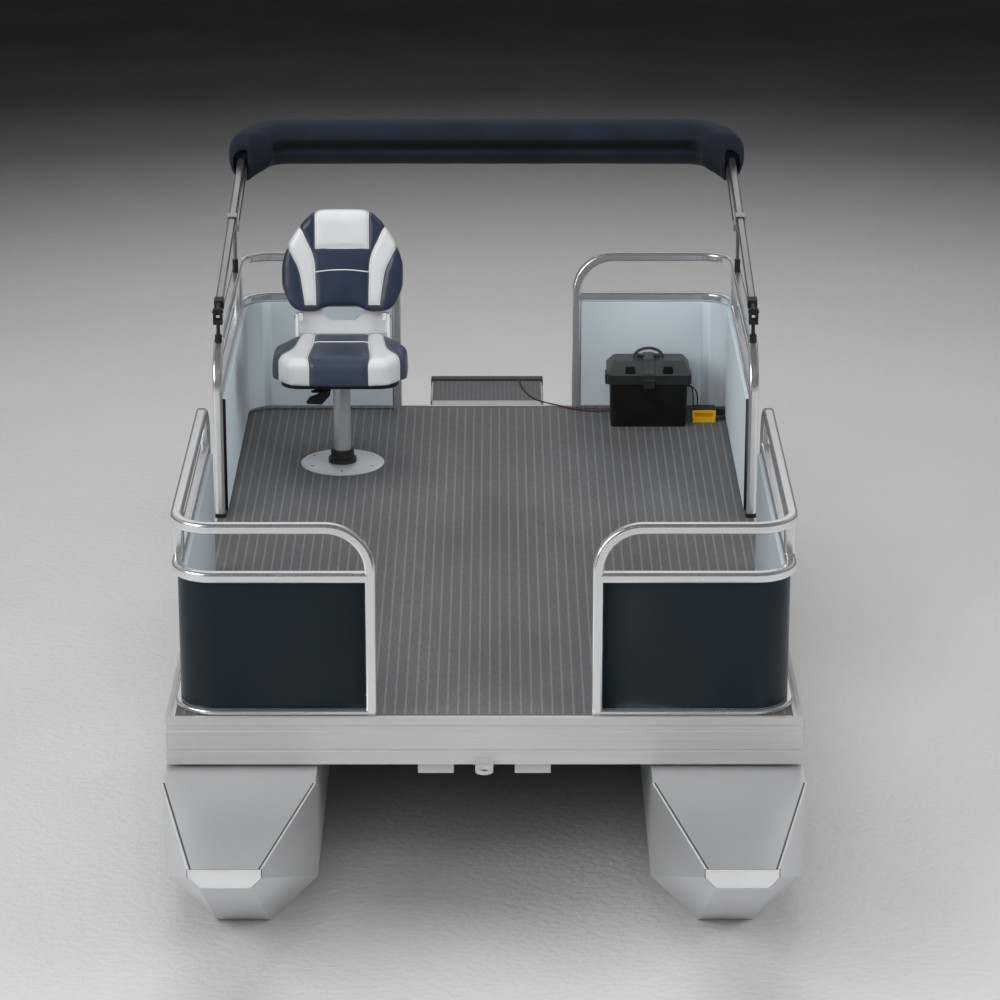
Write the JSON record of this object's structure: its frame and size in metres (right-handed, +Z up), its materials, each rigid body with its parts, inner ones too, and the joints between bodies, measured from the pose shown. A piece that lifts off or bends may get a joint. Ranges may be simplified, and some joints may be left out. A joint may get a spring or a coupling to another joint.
{
  "type": "pontoon boat",
  "caption": "Compact pontoon boat: folded aluminium floats, railed vinyl deck, pedestal seat, battery box and stowed folding top over the stern.",
  "frame": {"origin": "on the floor under the floats, at the middle of the overall length and width", "axes": "+X to the right seen from the bow, +Y from bow to stern, +Z up"},
  "size_m": [1.85, 4.035, 1.6167],
  "materials": {
    "mill_aluminium": "satin",
    "fascia_aluminium": "satin",
    "rail_aluminium": "polished",
    "bow_aluminium": "polished",
    "pedestal_aluminium": "satin",
    "deck_vinyl": "matte",
    "black_trim": "matte",
    "panel_paint": "satin",
    "black_plastic": "satin",
    "black_steel": "satin",
    "seat_shell": "satin",
    "seat_vinyl": "satin",
    "box_plastic": "satin",
    "lid_plastic": "satin",
    "yellow_plastic": "gloss",
    "boot_canvas": "woven",
    "lead_rubber": "satin"
  },
  "bodies": {
    "boat": {"pontoon_left": "mill_aluminium", "pontoon_right": "mill_aluminium", "risers": "mill_aluminium", "cross_members": "mill_aluminium", "stringers": "mill_aluminium", "deck_board": "deck_vinyl", "fascia": "fascia_aluminium", "tow_eye": "mill_aluminium", "motor_pod": "mill_aluminium", "pod_deck": "deck_vinyl", "transom_cap": "black_trim", "rail_front_left": "rail_aluminium", "rail_front_right": "rail_aluminium", "rail_rear_left": "rail_aluminium", "rail_rear_right": "rail_aluminium", "panel_front_left": "panel_paint", "panel_front_right": "panel_paint", "panel_rear_left": "panel_paint", "panel_rear_right": "panel_paint", "pedestal_base": "pedestal_aluminium", "pedestal_bushing": "black_plastic", "pedestal_post": "pedestal_aluminium", "battery_box": "box_plastic", "battery": "box_plastic", "charger": "yellow_plastic", "bow_hinge_left": "black_plastic", "bow_hinge_right": "black_plastic", "rest_strut_left": "bow_aluminium", "rest_strut_right": "bow_aluminium", "strut_ends": "black_plastic", "battery_lead": "lead_rubber", "charger_lead_inner": "black_plastic", "charger_lead_outer": "black_plastic"},
    "seat": {"seat_mount": "black_steel", "seat_pan": "seat_shell", "seat_cushion": "seat_vinyl"},
    "backrest": {"backrest_shell": "seat_shell", "backrest_pad": "seat_vinyl", "backrest_pins": "black_steel"},
    "box_lid": {"battery_lid": "lid_plastic", "battery_handle": "lid_plastic"},
    "folding_top": {"main_bow": "bow_aluminium", "inner_bow": "bow_aluminium", "bow_ends": "black_plastic", "canopy_boot": "boot_canvas"}
  },
  "joints": [
    {"name": "seat_swivel", "type": "hinge", "parent": "boat", "child": "seat", "pos_m": [-0.497, 1.0125, 0.902], "axis": [0, 0, 1], "continuous": true},
    {"name": "backrest_fold", "type": "hinge", "parent": "seat", "child": "backrest", "pos_m": [-0.497, 1.1875, 1.092], "axis": [1, 0, 0], "range_deg": [0, 88]},
    {"name": "box_lid_lift", "type": "slide", "parent": "boat", "child": "box_lid", "axis": [0, 0, 1], "range_m": [0, 0.25]},
    {"name": "top_fold", "type": "hinge", "parent": "boat", "child": "folding_top", "pos_m": [0, 0.5375, 1.295], "axis": [1, 0, 0], "range_deg": [0, 75]}
  ]
}
